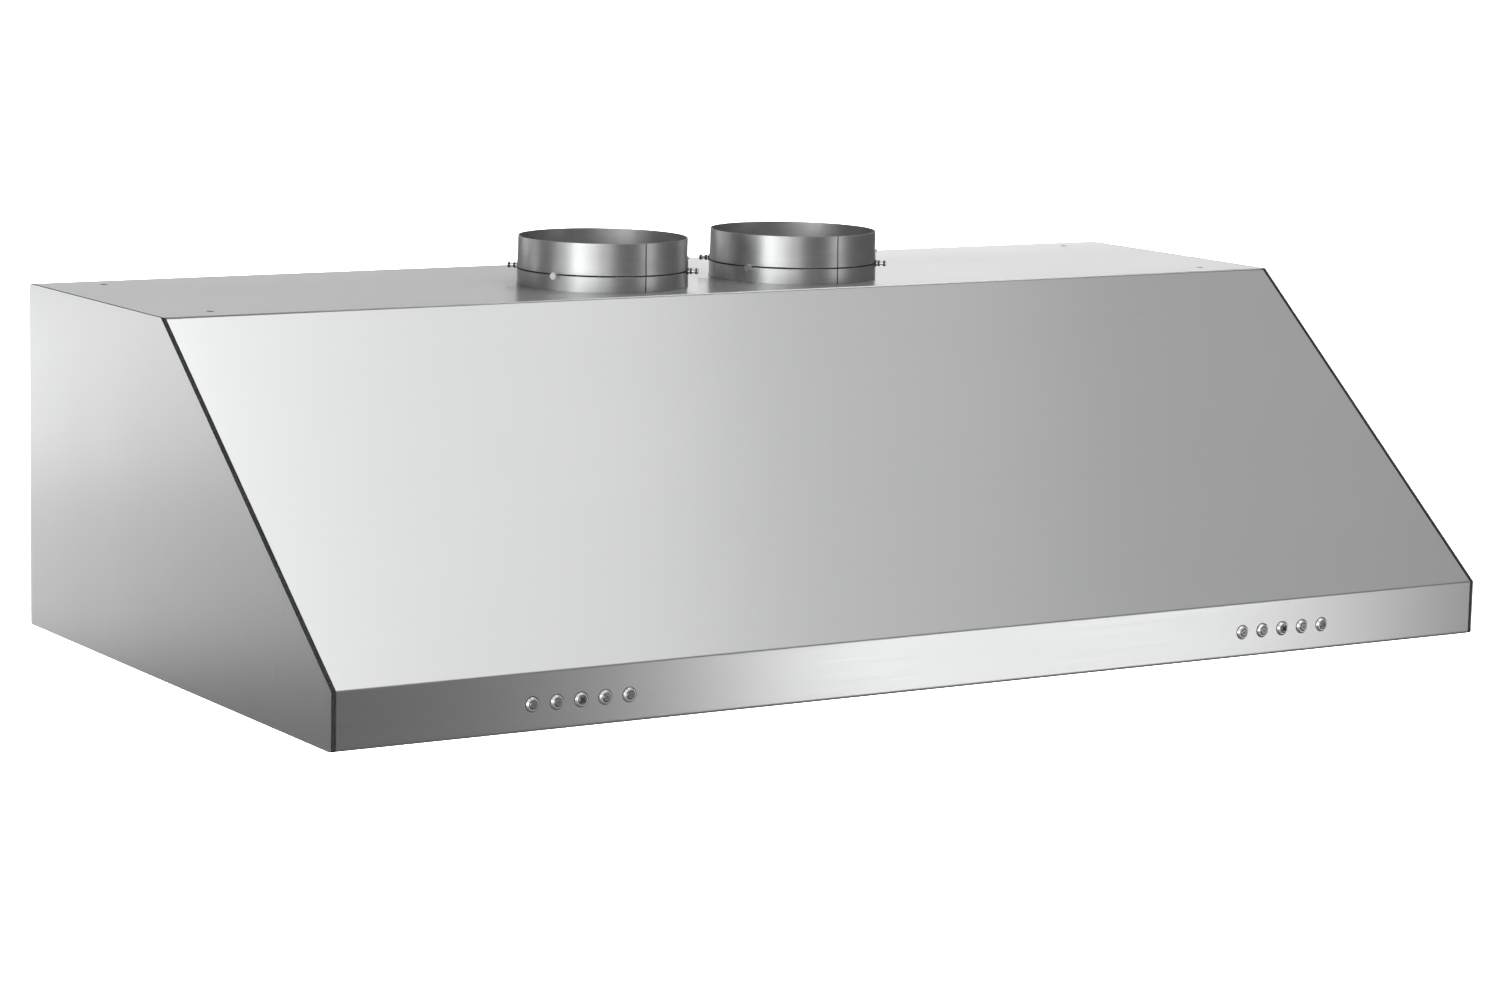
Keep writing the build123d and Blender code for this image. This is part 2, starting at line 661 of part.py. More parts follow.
def along_y(radius, x, start, length):
    """A round bar at a button's place, from one Y backwards."""
    return tube(radius, length, (x, start, BUTTON_Z), (0, 1, 0))


def button(x):
    """A domed round cap with a thinner stem that works the switch behind it."""
    face = FRONT - BUTTON_PROUD
    cap = along_y(CAP_R, x, face, CAP_L)
    cap = fillet(cap.edges().sort_by(Axis.Y)[0], CAP_EDGE)
    return cap + along_y(STEM_R, x, face, STEM_L)


def button_bezel(x):
    """A turned ring round one button that narrows towards the cook, with a barrel through the fascia."""
    foot = Plane(origin=(x, FRONT - BEZEL_FOOT, BUTTON_Z), z_dir=(0, -1, 0))
    tip = Plane(origin=(x, FRONT - BEZEL_PROUD, BUTTON_Z), z_dir=(0, -1, 0))
    cone = loft([foot * Circle(BEZEL_R), tip * Circle(BEZEL_TOP_R)])
    cone = fillet(cone.edges().sort_by(Axis.Y)[0], BEZEL_EDGE)
    rim = cone + along_y(BEZEL_R, x, FRONT - BEZEL_FOOT, BEZEL_FOOT)
    barrel = along_y(BEZEL_BARREL_R, x, FRONT - BEZEL_FOOT, BEZEL_BARREL_L + BEZEL_FOOT)
    return rim + barrel - along_y(BEZEL_BORE_R, x, FRONT - CUT, 2 * CUT)


def switch_module(side):
    """The moulded case behind one set of buttons."""
    x = side * BUTTON_SET_X
    z0 = BUTTON_Z - MODULE_HALF_Z
    z1 = BUTTON_Z + MODULE_HALF_Z
    case = block(x - MODULE_HALF, x + MODULE_HALF, MODULE_FRONT, MODULE_BACK, z0, z1)
    case = fillet(case.edges().filter_by(Axis.Y), MODULE_SIDE)
    half = MODULE_HALF - MODULE_SIDE
    case -= block(x - half, x + half, MODULE_FRONT + MODULE_SIDE, MODULE_BACK - MODULE_REAR,
                  z0 + MODULE_SHELL, z1 - MODULE_SHELL)
    for bx in button_xs(side):
        case -= along_y(MODULE_HOLE_R, bx, FRONT, MODULE_FRONT - FRONT + MODULE_SIDE + 1)
    return case


def switch_board(side):
    """The circuit board in the case with one switch behind each button."""
    x = side * BUTTON_SET_X
    half = MODULE_HALF - MODULE_SIDE - FLANGE_GAP
    rear = MODULE_BACK - MODULE_REAR - SKIN_GAP
    face = rear - BOARD_T
    board = block(x - half, x + half, face, rear, BUTTON_Z - BOARD_HALF_Z, BUTTON_Z + BOARD_HALF_Z)
    for bx in button_xs(side):
        board += block(bx - SWITCH_HALF, bx + SWITCH_HALF, face - SWITCH_T, face,
                       BUTTON_Z - SWITCH_HALF, BUTTON_Z + SWITCH_HALF)
    return board


# ---------- filters ----------

def filter_place(index):
    """A filter's frame: origin at the middle of its rear lower edge, tilted up to the front."""
    x = (index - (FILTER_COUNT - 1) / 2) * FILTER_PITCH
    return Pos(x, PIVOT_Y, PIVOT_Z) * Rot(-FILTER_TILT, 0, 0)


def filter_frame(index):
    """A channel frame with a rear tongue, a rolled pivot bead and a cross bar for the handle lugs."""
    mid = -FILTER_L / 2
    frame = Pos(0, mid, FILTER_T / 2) * Box(FILTER_W, FILTER_L, FILTER_T)
    wall = 2 * FILTER_SHEET
    frame -= Pos(0, mid, FILTER_T / 2) * Box(FILTER_W - wall, FILTER_L - wall, FILTER_T - wall)
    rims = 2 * FILTER_RIM
    frame -= Pos(0, mid, FILTER_T / 2) * Box(FILTER_W - rims, FILTER_L - rims, 2 * FILTER_T)
    inset = FILTER_W / 2 - TONGUE_INSET
    frame += block(-inset, inset, -FILTER_SHEET, TONGUE, 0, FILTER_SHEET)
    frame += tube(PIVOT_BEAD_R, 2 * inset, (-inset, 0, 0), (1, 0, 0))
    bar_y = -BAR_FROM_PIVOT
    bar_end = FILTER_W / 2 - FILTER_SHEET
    frame += block(-bar_end, bar_end, bar_y - BAR_HALF, bar_y + BAR_HALF, -BAR_T, 0)
    bore = tube(HANDLE_ROD_R + RUN_GAP, 4 * HANDLE_HALF, (-2 * HANDLE_HALF, bar_y, -HANDLE_BELOW), (1, 0, 0))
    for sign in (-1, 1):
        near, far = sorted((sign * (HANDLE_HALF + LUG_NEAR), sign * (HANDLE_HALF + LUG_FAR)))
        lug = block(near, far, bar_y - LUG_HALF, bar_y + LUG_HALF, -HANDLE_BELOW - LUG_BELOW, -BAR_T)
        frame += lug - bore
    return filter_place(index) * frame


def baffle(flip):
    """One channel of the labyrinth, open upwards, or downwards when flipped."""
    length = FILTER_L - 2 * (FILTER_SHEET + BAFFLE_END)
    channel = Box(BAFFLE_W, length, BAFFLE_H)
    hollow = Pos(0, 0, BAFFLE_T) * Box(BAFFLE_W - 2 * BAFFLE_T, length + CUT, BAFFLE_H)
    return Rot(0, 180 if flip else 0, 0) * (channel - hollow)


def filter_baffles(index):
    """Two staggered rows of channels held between the frame's lips."""
    mid = -FILTER_L / 2
    low_z = FILTER_SHEET + BAFFLE_H / 2 + BAFFLE_GAP
    high_z = FILTER_T - low_z
    rows = [(LOW_BAFFLES, low_z, False), (HIGH_BAFFLES, high_z, True)]
    channels = []
    for count, z, flip in rows:
        for i in range(count):
            x = (i - (count - 1) / 2) * BAFFLE_PITCH
            channels.append(filter_place(index) * Pos(x, mid, z) * baffle(flip))
    return channels


def handle_pivot(index):
    """World place of a filter handle's axis."""
    return (filter_place(index) * Pos(0, -BAR_FROM_PIVOT, -HANDLE_BELOW)).position


def filter_handle(index):
    """A wire bail that hangs from the lugs."""
    points = [(-HANDLE_END, 0, 0), (-HANDLE_HALF, 0, 0), (-HANDLE_HALF, 0, -HANDLE_DROP),
              (HANDLE_HALF, 0, -HANDLE_DROP), (HANDLE_HALF, 0, 0), (HANDLE_END, 0, 0)]
    path = FilletPolyline(*points, radius=HANDLE_BEND)
    rod = sweep(Plane(origin=points[0], z_dir=(1, 0, 0)) * Circle(HANDLE_ROD_R), path=path)
    return Location(handle_pivot(index)) * rod


def filter_catches():
    """Two leaf springs on the front rail for each filter."""
    catches = []
    y = STRIP_BACK + SKIN_GAP
    top = RAIL_Z - CATCH_TOP
    for index in range(FILTER_COUNT):
        for dx in (-CATCH_X, CATCH_X):
            x = (index - (FILTER_COUNT - 1) / 2) * FILTER_PITCH + dx
            catches.append(block(x - CATCH_HALF, x + CATCH_HALF, y, y + CATCH_T, top - CATCH_L, top))
    return catches


# ---------- wiring ----------

def around_box(half_w, half_h, front, rear):
    """A block centred on the junction box."""
    return block(BOX_X - half_w, BOX_X + half_w, front, rear, BOX_Z - half_h, BOX_Z + half_h)


def junction_box():
    """A sheet box on the back panel with an open front and a hole for the supply."""
    front = BOX_REAR - BOX_D
    box = around_box(BOX_W / 2, BOX_H / 2, front, BOX_REAR)
    box -= around_box(BOX_W / 2 - BOX_WALL, BOX_H / 2 - BOX_WALL, front - 1, BOX_REAR - BOX_WALL)
    return box - tube(KNOCKOUT_R + 0.5, CUT, (BOX_X, BOX_REAR - CUT / 2, BOX_Z), (0, 1, 0))


def junction_box_cover():
    """The box's front plate with turned edges."""
    half_w = BOX_W / 2 + COVER_GROW
    half_h = BOX_H / 2 + COVER_GROW
    inside = BOX_REAR - BOX_D - PANEL_FREE
    cover = around_box(half_w, half_h, inside - COVER_T, inside + COVER_LAP)
    return cover - around_box(half_w - COVER_T, half_h - COVER_T, inside, inside + COVER_LAP + 1)


def lead(points, bend):
    """A round cable along straight runs with tangent arcs."""
    path = FilletPolyline(*points, radius=bend)
    start = Vector(*points[1]) - Vector(*points[0])
    return sweep(Plane(origin=points[0], z_dir=start) * Circle(LEAD_R), path=path)


def motor_leads():
    """The two motor cables, clipped along the back panel to the junction box."""
    motor_end = -HOUSING_OUTER + BRACKET_T + FLANGE_GAP + MOTOR_L
    box_side = BOX_X + BOX_W / 2 + PANEL_FREE
    y = WHEEL_Y + LEAD_RISE
    left_out = -motor_end - LEAD_OUT_LEFT
    right_out = motor_end + LEAD_OUT_RIGHT
    left = [(-motor_end, y, WHEEL_Z), (left_out, y, WHEEL_Z), (left_out, LEAD_FRONT_Y, BOX_Z),
            (box_side, LEAD_FRONT_Y, BOX_Z)]
    right = [(motor_end, y, WHEEL_Z), (right_out, y, WHEEL_Z), (right_out, LEAD_WALL_Y, LEAD_CLIMB_Z),
             (box_side, LEAD_WALL_Y, LEAD_CLIMB_Z)]
    return [lead(left, LEAD_BEND_LEFT), lead(right, LEAD_BEND_RIGHT)]


# ---------- assembly ----------

def build_shell():
    left = side_panel()
    seal = corner_seal()
    add("side_panel_left", left)
    add("side_panel_right", mirrored(left))
    add("corner_seals", seal, mirrored(seal))
    add("front_panel", front_panel())
    add("top_panel", top_panel())
    add("back_panel", back_panel())
    add("grease_trough", grease_trough())
    add("panel_screws", *panel_screws())


def build_lamps():
    add("light_panel", light_panel())
    add("lamp_bezels", *[lamp_bezel(x) for x in LAMP_XS])
    add("lamp_lenses", *[lamp_lens(x) for x in LAMP_XS])
    add("lamp_cups", *[lamp_cup(x) for x in LAMP_XS])


def build_collars():
    clips = []
    fasteners = []
    for side, label in ((-1, "left"), (1, "right")):
        at = collar_centre(side)
        add(f"duct_collar_{label}", at * duct_collar())
        add(f"damper_axle_{label}", at * damper_axle())
        add(f"damper_flap_{label}_front", at * damper_flap(-1, FRONT_KNUCKLES_X))
        add(f"damper_flap_{label}_rear", at * damper_flap(1, REAR_KNUCKLES_X))
        clips += [at * clip for clip in axle_clips()]
        fasteners += [at * collar_bolt(), at * collar_rivet()]
    add("axle_end_clips", *clips)
    add("collar_fasteners", *fasteners)


def build_blowers():
    makers = {"blower_housing": blower_housing, "motor": motor, "motor_shaft": motor_shaft,
              "impeller": impeller}
    for name, maker in makers.items():
        solid = maker()
        add(f"{name}_left", solid)
        add(f"{name}_right", mirrored(solid))
    groups = {"inlet_rings": inlet_ring, "motor_brackets": motor_bracket, "run_capacitors": run_capacitor}
    for name, maker in groups.items():
        solid = maker()
        add(name, solid, mirrored(solid))


def build_controls():
    bezels = []
    for side, label in ((-1, "left"), (1, "right")):
        for number, x in enumerate(button_xs(side), start=1):
            add(f"button_{label}_{number}", button(x))
            bezels.append(button_bezel(x))
        add(f"switch_module_{label}", switch_module(side))
    add("button_bezels", *bezels)
    add("switch_boards", switch_board(-1), switch_board(1))


def build_filters():
    for index in range(FILTER_COUNT):
        add(f"filter_frame_{index + 1}", filter_frame(index))
        add(f"filter_baffles_{index + 1}", *filter_baffles(index))
        add(f"filter_handle_{index + 1}", filter_handle(index))
    add("filter_catches", *filter_catches())


def build_wiring():
    add("junction_box", junction_box())
    add("junction_box_cover", junction_box_cover())
    add("motor_leads", *motor_leads())


def export_parts():
    os.makedirs("parts", exist_ok=True)
    for name, solids in PARTS.items():
        shape = solids[0] if len(solids) == 1 else Compound(children=solids)
        export_step(shape, f"parts/{name}.step")


build_shell()
build_lamps()
build_collars()
build_blowers()
build_controls()
build_filters()
build_wiring()
export_parts()
print(len(PARTS), "nodes")
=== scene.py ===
import json
import math

import bmesh
import bpy
from mathutils import Matrix, Vector


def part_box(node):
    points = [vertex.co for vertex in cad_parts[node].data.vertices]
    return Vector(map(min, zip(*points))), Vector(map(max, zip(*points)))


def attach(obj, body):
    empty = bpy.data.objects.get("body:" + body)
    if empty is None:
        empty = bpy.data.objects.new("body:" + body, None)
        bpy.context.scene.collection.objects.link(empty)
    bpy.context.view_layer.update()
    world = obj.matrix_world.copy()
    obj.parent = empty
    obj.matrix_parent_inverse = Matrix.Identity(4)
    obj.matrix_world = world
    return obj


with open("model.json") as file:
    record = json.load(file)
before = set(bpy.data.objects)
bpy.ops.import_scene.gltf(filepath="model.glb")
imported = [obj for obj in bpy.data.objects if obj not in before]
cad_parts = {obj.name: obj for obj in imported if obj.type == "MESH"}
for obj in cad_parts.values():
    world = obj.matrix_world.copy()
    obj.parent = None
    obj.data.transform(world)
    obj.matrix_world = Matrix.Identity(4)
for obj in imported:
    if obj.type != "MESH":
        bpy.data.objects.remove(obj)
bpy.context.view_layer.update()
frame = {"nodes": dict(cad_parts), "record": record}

# Everything is in metres, in the hood's own frame: X along it, -Y to the cook, +Z up.

NODES = frame["nodes"]


# ---------- sizes and places ----------

# The camera: where it stands, where it looks, and its lens in millimetres.
CAMERA_PLACE = Vector((-2.0950, -3.3176, 0.7380))
CAMERA_HEADING = math.radians(32.07)
CAMERA_PITCH = math.radians(8.927)
CAMERA_ROLL = math.radians(1.251)
CAMERA_LENS = 102.51

# The studio: its even light, and the floor's height and the round wall's radius.
STUDIO_STRENGTH = 0.15
FLOOR_Z = -2.6
WALL_RADIUS = 60.0

# The steel's scratches and broad bands, in waves per metre along and across the grain.
GRAIN_LONG = 6.0
GRAIN_FINE = 1400.0
BAND_LONG = 0.2
BAND_FINE = 9.0

# Buttons in a set, and how far their marks stand out of the cap's face and reach into it.
BUTTON_COUNT = 5
MARK_PROUD = 0.00005
MARK_SUNK = 0.0001

# Corner seams: the fascia's height, the bends, the skin's edge, the whole seam, and the sizes of the black
# strips painted into them as shade.
# SHADE_START is how far round the lowest bend the painted shade strip begins, in radians.
FASCIA_TOP = 0.050
BEND = 0.003
BEND_STEPS = 6
SHADE_START = 0.35
TOP_EDGE_GAP = 0.0006
SKIN_EDGE = 0.00125
SEAM_WIDE = 0.00457
SHADE_PROUD = 0.00008
SHADE_LIFT = 0.00002
SHADE_DIP = 0.0001
SHADE_DEEP = 0.00045
TOP_LINE_WIDE = 0.0024

# Painted shadow: dark rings round the foot of the button rings.
RING_RADIUS = 0.00602
SHADOW_RING_RADIUS = 0.00675
SHADOW_RING_PROUD = 0.00012
SHADOW_RING_STEPS = 40

# Collars: radii and heights of the wall, the lap seam's line, and the groove with its painted shade.
COLLAR_RADIUS = 0.080
SPIGOT_RADIUS = 0.0794
GROOVE_Z = 0.330
TAPER_Z = 0.334
SPIGOT_Z = 0.344
LAP_HALF = 0.00055
LAP_PROUD = 0.00003
GROOVE_HALF = 0.00075
GROOVE_DIP = 0.00012
GROOVE_DEEP = 0.0006
RIM_SHORT = 0.0001
COLLAR_STEPS = 96

# Lamps: how many, the cup's radius, and how high the bulb's tip hangs above the cup's mouth.
LAMP_COUNT = 4
CUP_RADIUS = 0.026
BULB_ABOVE_MOUTH = 0.0115


# ---------- camera ----------

def make_camera():
    """A long lens from the front left, a little above the top."""
    data = bpy.data.cameras.new("camera")
    data.lens = CAMERA_LENS
    data.sensor_width = 36.0
    data.clip_start = 0.05
    data.clip_end = 400.0
    camera = bpy.data.objects.new("camera", data)
    bpy.context.collection.objects.link(camera)
    ahead = Vector((math.sin(CAMERA_HEADING) * math.cos(CAMERA_PITCH),
                    math.cos(CAMERA_HEADING) * math.cos(CAMERA_PITCH), -math.sin(CAMERA_PITCH)))
    level_right = Vector((math.cos(CAMERA_HEADING), -math.sin(CAMERA_HEADING), 0.0))
    level_up = level_right.cross(ahead)
    right = math.cos(CAMERA_ROLL) * level_right + math.sin(CAMERA_ROLL) * level_up
    up = right.cross(ahead)
    turn = Matrix((right, up, -ahead)).transposed()
    camera.matrix_world = Matrix.Translation(CAMERA_PLACE) @ turn.to_4x4()
    bpy.context.scene.camera = camera


# ---------- studio ----------

def make_world():
    """An even, dim studio."""
    world = bpy.data.worlds.new("studio")
    bpy.context.scene.world = world
    world.use_nodes = True
    world.node_tree.nodes["Background"].inputs["Color"].default_value = (1.0, 1.0, 1.0, 1.0)
    world.node_tree.nodes["Background"].inputs["Strength"].default_value = STUDIO_STRENGTH


def area_light(name, place, target, size, power):
    """A soft box that faces a point."""
    data = bpy.data.lights.new(name, "AREA")
    data.shape = "RECTANGLE"
    data.size, data.size_y = size
    data.energy = power
    lamp = bpy.data.objects.new(name, data)
    bpy.context.collection.objects.link(lamp)
    lamp.location = place
    lamp.rotation_mode = "QUATERNION"
    lamp.rotation_quaternion = (Vector(target) - Vector(place)).to_track_quat("-Z", "Y")
    lamp.visible_camera = False


# Soft boxes: place, width and height, and watts.
OVERHEAD = (
    ((-1.70, -0.2, 2.3), (0.8, 2.4), 12.0),
    ((-0.05, -0.2, 2.3), (0.4, 2.4), 9.0),
    ((0.35, -0.2, 2.3), (0.4, 2.4), 3.7),
    ((0.85, -0.2, 2.3), (0.6, 2.4), 4.8),
    ((1.45, -0.2, 2.3), (0.6, 2.4), 2.8),
    ((2.30, -0.2, 2.3), (1.1, 2.4), 3.4),
)
FRONT = (
    ((1.90, -3.4, -0.3), (0.3, 2.0), 5.8),
    ((2.25, -3.4, -0.3), (0.4, 2.0), 3.3),
    ((2.75, -3.4, -0.3), (0.6, 2.0), 7.8),
)
BEHIND_LEFT = (
    ((-3.1, 2.9, 0.15), (0.9, 0.3), 5.0),
    ((-1.3, 2.9, -0.42), (0.9, 0.3), 1.5),
    ((-1.3, 2.9, -0.15), (0.9, 0.3), 2.3),
    ((-1.3, 2.9, 0.15), (0.9, 0.3), 1.2),
)
BEHIND = (
    ((1.4, 4.5, 1.0), (2.4, 1.6), 12.2),
    ((4.0, 4.5, 1.0), (2.8, 1.6), 27.5),
)

# The boxes behind on the left face a point this much further along X, those behind a point this high.
BEHIND_LEFT_AIM = 1.5
BEHIND_AIM_Z = 0.3

# The arc's middle and radius, the size of its boxes, and each box's angle in degrees and watts.
ARC_MIDDLE = (0.0, 0.1, 0.3)
ARC_RADIUS = 3.5
ARC_BOX = (0.6, 1.6)
ARC = ((180.0, 5.2), (192.0, 4.1), (204.0, 21.6), (216.0, 12.4), (228.0, 11.2), (244.0, 6.8))


def make_lights():
    """Soft boxes overhead, in front, behind and on an arc round the left, unseen by the camera."""
    for place, size, power in OVERHEAD:
        area_light("overhead", place, (place[0], place[1], 0.0), size, power)
    for place, size, power in FRONT:
        area_light("front", place, (place[0], 0.0, place[2]), size, power)
    for place, size, power in BEHIND_LEFT:
        area_light("behind_left", place, (place[0] + BEHIND_LEFT_AIM, 0.0, place[2]), size, power)
    for place, size, power in BEHIND:
        area_light("behind", place, (place[0], 0.0, BEHIND_AIM_Z), size, power)
    for angle, power in ARC:
        turn = math.radians(angle)
        place = (ARC_MIDDLE[0] + ARC_RADIUS * math.cos(turn), ARC_MIDDLE[1] + ARC_RADIUS * math.sin(turn),
                 ARC_MIDDLE[2])
        area_light("arc", place, ARC_MIDDLE, ARC_BOX, power)


def make_floor():
    """A plain pale floor well below the hood, running up into a pale wall all round."""
    material = bpy.data.materials.new("pale_floor")
    material.use_nodes = True
    shader = material.node_tree.nodes["Principled BSDF"]
    shader.inputs["Base Color"].default_value = (0.9, 0.9, 0.9, 1.0)
    shader.inputs["Roughness"].default_value = 0.9
    shader.inputs["Emission Color"].default_value = (1.0, 1.0, 1.0, 1.0)
    shader.inputs["Emission Strength"].default_value = 1.0
    mesh = bpy.data.meshes.new("floor")
    bm = bmesh.new()
    bmesh.ops.create_uvsphere(bm, u_segments=64, v_segments=32, radius=WALL_RADIUS)
    for vert in bm.verts:
        vert.co.z = max(vert.co.z, FLOOR_Z)
    bm.to_mesh(mesh)
    bm.free()
    mesh.materials.append(material)
    floor = bpy.data.objects.new("floor", mesh)
    bpy.context.collection.objects.link(floor)
    floor.visible_glossy = False


# ---------- materials ----------

def node(tree, kind, **inputs):
    """A shader node with named input values."""
    made = tree.nodes.new(kind)
    for key, value in inputs.items():
        made.inputs[key.replace("_", " ")].default_value = value
    return made


def blank(name, rough=0.5, metallic=0.0):
    """A material with its tree and Principled shader."""
    material = bpy.data.materials.new(name)
    material.use_nodes = True
    shader = material.node_tree.nodes["Principled BSDF"]
    shader.inputs["Roughness"].default_value = rough
    shader.inputs["Metallic"].default_value = metallic
    return material, material.node_tree, shader


def stretched_noise(tree, stretch, scale, detail=4.0):
    """Noise in object space, drawn out along the axes with a small stretch."""
    coords = node(tree, "ShaderNodeTexCoord")
    mapping = node(tree, "ShaderNodeMapping", Scale=stretch)
    noise = node(tree, "ShaderNodeTexNoise", Scale=scale, Detail=detail)
    tree.links.new(coords.outputs["Object"], mapping.inputs["Vector"])
    tree.links.new(mapping.outputs["Vector"], noise.inputs["Vector"])
    return noise.outputs["Fac"]


def spread(tree, source, low, high):
    """Map a 0 to 1 value to a range."""
    mapped = node(tree, "ShaderNodeMapRange", To_Min=low, To_Max=high)
    tree.links.new(source, mapped.inputs["Value"])
    return mapped.outputs["Result"]


def added(tree, first, second):
    """The sum of two values."""
    total = tree.nodes.new("ShaderNodeMath")
    tree.links.new(first, total.inputs[0])
    tree.links.new(second, total.inputs[1])
    return total.outputs["Value"]


def tinted(tree, shader, fac, low, high):
    """Colour that runs between two shades."""
    mix = tree.nodes.new("ShaderNodeMix")
    mix.data_type = "RGBA"
    mix.inputs["A"].default_value = (*low, 1.0)
    mix.inputs["B"].default_value = (*high, 1.0)
    tree.links.new(fac, mix.inputs["Factor"])
    tree.links.new(mix.outputs["Result"], shader.inputs["Base Color"])


def raised(tree, shader, height, strength, distance):
    """Surface relief."""
    bump = node(tree, "ShaderNodeBump", Strength=strength, Distance=distance)
    tree.links.new(height, bump.inputs["Height"])
    tree.links.new(bump.outputs["Normal"], shader.inputs["Normal"])


def shades(color, change, green=0.0):
    """A darker and a lighter shade of a grey with a slight green tint."""
    return [tuple(color * k * (1.0 + green * tilt) for tilt in (-0.5, 1.0, 0.0))
            for k in (1.0 - change, 1.0 + change)]


def brushed(name, grain, glint, color=0.66, rough=0.30, aniso=0.75, line=0.04, bump=0.03, green=0.012):
    """Brushed steel: fine scratches along the grain, faint broad bands and a few handling marks."""
    material, tree, shader = blank(name, metallic=1.0)
    stretch = [GRAIN_LONG if abs(g) > 0.5 else GRAIN_FINE for g in grain]
    fine = stretched_noise(tree, stretch, 1.0, detail=6.0)
    band = stretched_noise(tree, [BAND_LONG if abs(g) > 0.5 else BAND_FINE for g in grain], 1.0)
    smudge = stretched_noise(tree, (1.0, 1.0, 1.0), 5.0)
    tinted(tree, shader, fine, *shades(color, line, green))
    streaks = added(tree, spread(tree, fine, -0.05, 0.05), spread(tree, band, -0.012, 0.012))
    marks = spread(tree, smudge, rough - 0.012, rough + 0.012)
    tree.links.new(added(tree, streaks, marks), shader.inputs["Roughness"])
    raised(tree, shader, fine, bump, 0.0002)
    shader.inputs["Anisotropic"].default_value = aniso
    along = node(tree, "ShaderNodeCombineXYZ", X=glint[0], Y=glint[1], Z=glint[2])
    tree.links.new(along.outputs["Vector"], shader.inputs["Tangent"])
    return material


def polished(name, color, rough, hairline=700.0):
    """Bright plated metal with hairline scratches."""
    material, tree, shader = blank(name, metallic=1.0)
    fine = stretched_noise(tree, (hairline, hairline, 60.0), 1.0)
    tinted(tree, shader, fine, *shades(color, 0.03))
    tree.links.new(spread(tree, fine, rough * 0.7, rough * 1.3), shader.inputs["Roughness"])
    raised(tree, shader, fine, 0.03, 0.0001)
    return material


def spangled(name, color, rough):
    """Galvanised sheet: small crystals that each shine differently, over a dull bloom."""
    material, tree, shader = blank(name, metallic=1.0)
    coords = node(tree, "ShaderNodeTexCoord")
    crystals = node(tree, "ShaderNodeTexVoronoi", Scale=110.0)
    tree.links.new(coords.outputs["Object"], crystals.inputs["Vector"])
    grey = tree.nodes.new("ShaderNodeRGBToBW")
    tree.links.new(crystals.outputs["Color"], grey.inputs["Color"])
    bloom = stretched_noise(tree, (1.0, 1.0, 1.0), 14.0)
    tinted(tree, shader, grey.outputs["Val"], *shades(color, 0.10, 0.012))
    tree.links.new(added(tree, spread(tree, grey.outputs["Val"], rough - 0.08, rough + 0.08),
                         spread(tree, bloom, -0.05, 0.08)), shader.inputs["Roughness"])
    raised(tree, shader, grey.outputs["Val"], 0.05, 0.0002)
    return material


def moulded(name, dark, light, rough, grain, bump, coat=0.0, gloss=0.5):
    """Plastic, paint or rubber with a fine moulded or sprayed texture and slight shade changes."""
    material, tree, shader = blank(name)
    skin = stretched_noise(tree, (1.0, 1.0, 1.0), grain)
    cloud = stretched_noise(tree, (1.0, 1.0, 1.0), 25.0)
    tinted(tree, shader, cloud, dark, light)
    tree.links.new(spread(tree, skin, rough * 0.8, rough * 1.2), shader.inputs["Roughness"])
    raised(tree, shader, skin, bump, 0.0003)
    shader.inputs["Coat Weight"].default_value = coat
    shader.inputs["Specular IOR Level"].default_value = gloss
    return material


def lamp_glass(name):
    """Clear lens glass with pressed dimples."""
    material, tree, shader = blank(name, rough=0.06)
    shader.inputs["Base Color"].default_value = (0.95, 0.97, 0.97, 1.0)
    shader.inputs["Transmission Weight"].default_value = 0.85
    shader.inputs["IOR"].default_value = 1.5
    coords = node(tree, "ShaderNodeTexCoord")
    dimples = node(tree, "ShaderNodeTexVoronoi", Scale=320.0)
    tree.links.new(coords.outputs["Object"], dimples.inputs["Vector"])
    raised(tree, shader, dimples.outputs["Distance"], 0.35, 0.0008)
    return material


